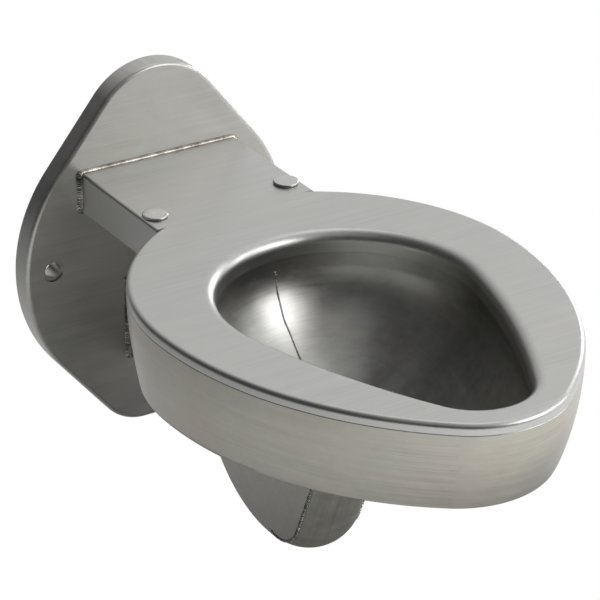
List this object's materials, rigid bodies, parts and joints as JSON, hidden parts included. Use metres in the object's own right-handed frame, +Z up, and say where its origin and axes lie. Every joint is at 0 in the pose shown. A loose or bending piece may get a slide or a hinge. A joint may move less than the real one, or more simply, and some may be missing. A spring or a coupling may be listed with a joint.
{
  "type": "wall-hung toilet bowl",
  "caption": "Brushed stainless steel wall-hung toilet bowl with integral seat, box arm, bolted wall flange, flat-sided trap and waste outlet through the wall.",
  "frame": {"origin": "in the wall's face, midway between the two upper wall bolts", "axes": "+Y into the wall, +Z up, +X to the left of a person who faces away from the wall; the bowl stands out along -Y"},
  "size_m": [0.366, 0.673, 0.3751],
  "materials": {
    "brushed_sheet": "satin, brushed by hand",
    "mill_sheet": "mill finish, dull",
    "tube": "drawn tube, satin",
    "weld_bead": "rippled weld, heat-tinted",
    "fastener": "turned, satin"
  },
  "bodies": {
    "root": {"wall_flange": "brushed_sheet", "bolt_spacers": "tube", "outlet_plate": "mill_sheet", "waste_spigot": "tube", "waste_duct": "mill_sheet", "duct_front": "mill_sheet", "arm_shell": "brushed_sheet", "arm_floor": "mill_sheet", "seat_deck": "brushed_sheet", "skirt": "brushed_sheet", "flush_rim": "mill_sheet", "flush_pipe": "tube", "flush_tail": "tube", "flush_collar": "tube", "bowl": "brushed_sheet", "bowl_seam_weld": "weld_bead", "trap_boot": "brushed_sheet", "trap_sides": "brushed_sheet", "trap_floor": "brushed_sheet", "trap_roof": "brushed_sheet", "trap_weld": "weld_bead", "arm_weld": "weld_bead", "duct_weld": "weld_bead", "hinge_plugs": "fastener", "hinge_washers": "fastener", "hinge_nuts": "fastener"}
  },
  "joints": []
}
